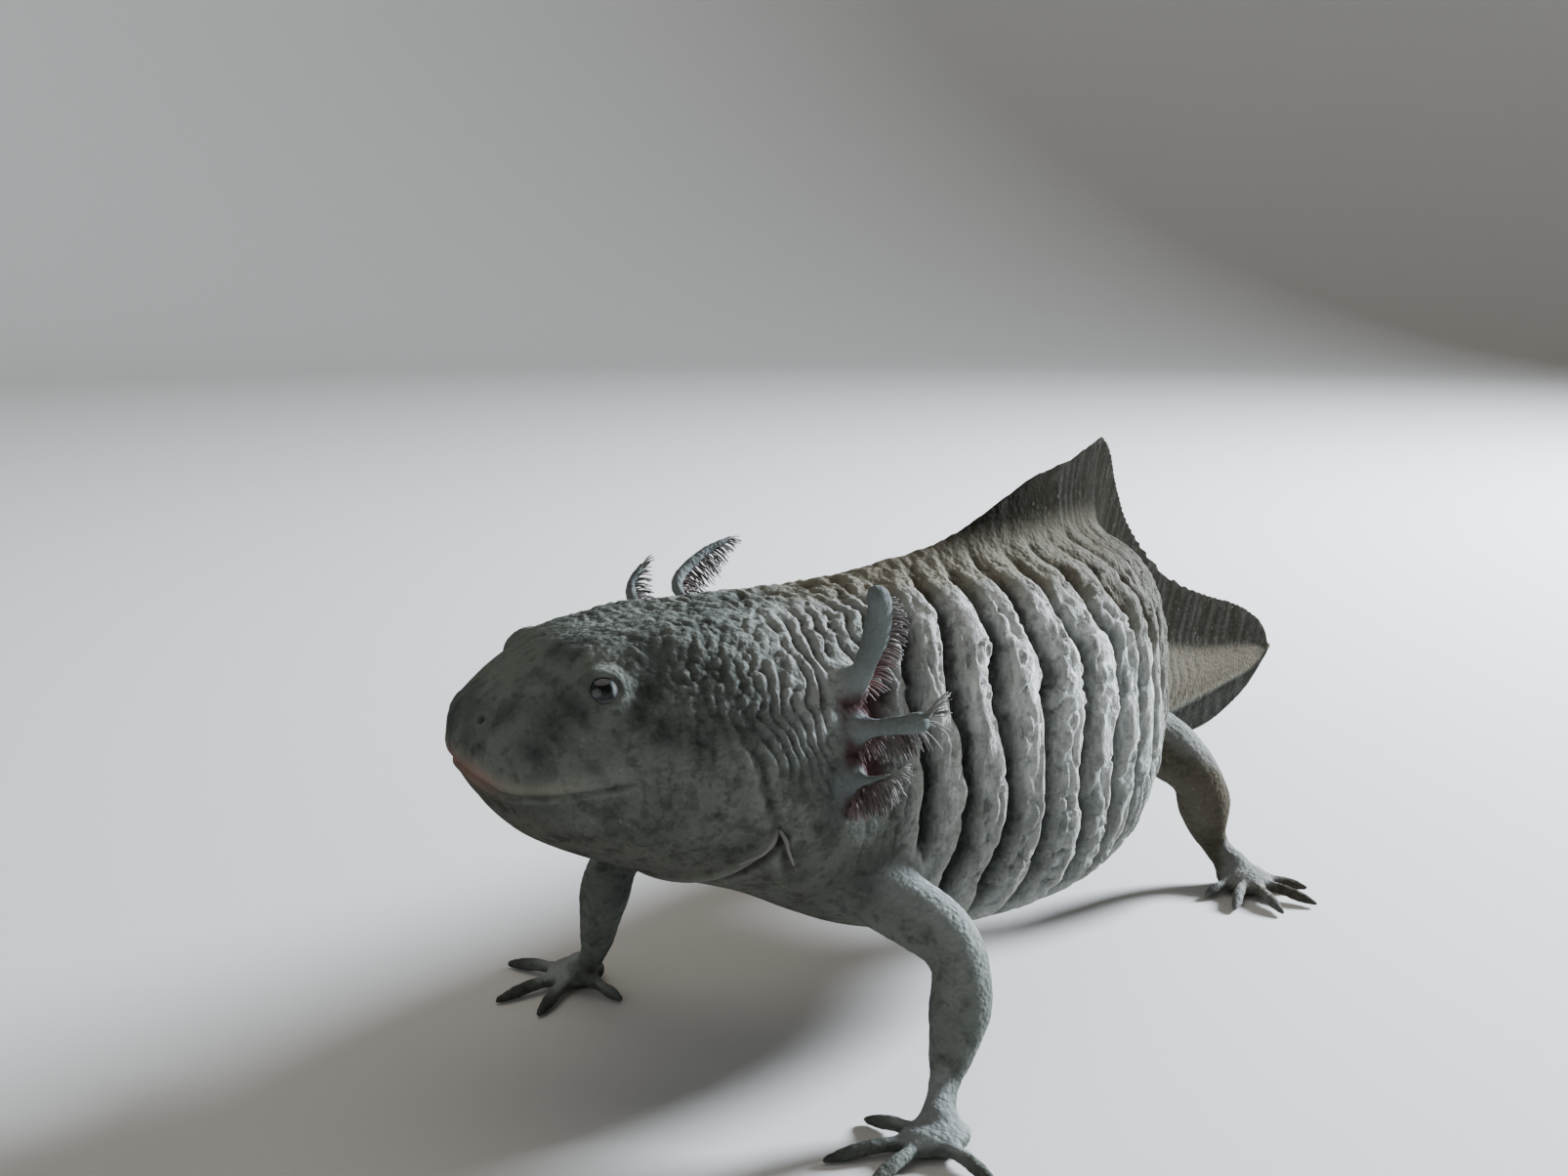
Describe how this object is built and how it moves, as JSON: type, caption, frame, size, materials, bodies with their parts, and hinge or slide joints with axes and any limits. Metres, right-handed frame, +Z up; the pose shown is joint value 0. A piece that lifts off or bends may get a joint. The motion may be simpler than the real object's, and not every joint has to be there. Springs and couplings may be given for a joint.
{
  "type": "axolotl",
  "caption": "Life-size wild-type axolotl model that stands with its head turned, with feathery gills, a tall back and tail fin, and folded flanks.",
  "frame": {"origin": "on the floor, at the middle of the bounding box's base", "axes": "+X runs from the head end to the tail tip, along the trunk; +Z is up; +Y is the animal's right side, to which the head turns"},
  "size_m": [0.2342, 0.0928, 0.0669],
  "materials": {
    "skin": "moist, semi-gloss, grey-brown with dark mottling",
    "fin_skin": "moist, semi-gloss, brown with darker upright streaks",
    "gill": "moist, semi-gloss, grey stalks with dull red filaments",
    "eye": "glossy, dark with a pale silvery iris ring"
  },
  "bodies": {
    "root": {"dorsal_fin": "fin_skin", "eye_left": "eye", "eye_right": "eye", "front_left_foot": "skin", "front_left_forearm": "skin", "front_left_upper_arm": "skin", "front_right_foot": "skin", "front_right_forearm": "skin", "front_right_upper_arm": "skin", "gill_left_lower": "gill", "gill_left_middle": "gill", "gill_left_upper": "gill", "gill_right_lower": "gill", "gill_right_middle": "gill", "gill_right_upper": "gill", "head": "skin", "hind_left_foot": "skin", "hind_left_shin": "skin", "hind_left_thigh": "skin", "hind_right_foot": "skin", "hind_right_shin": "skin", "hind_right_thigh": "skin", "lower_jaw": "skin", "tail_base": "skin", "tail_fin_lower": "fin_skin", "tail_fin_upper": "fin_skin", "tail_middle": "skin", "tail_tip": "skin", "trunk_front": "skin", "trunk_middle": "skin", "trunk_rear": "skin"}
  },
  "joints": []
}
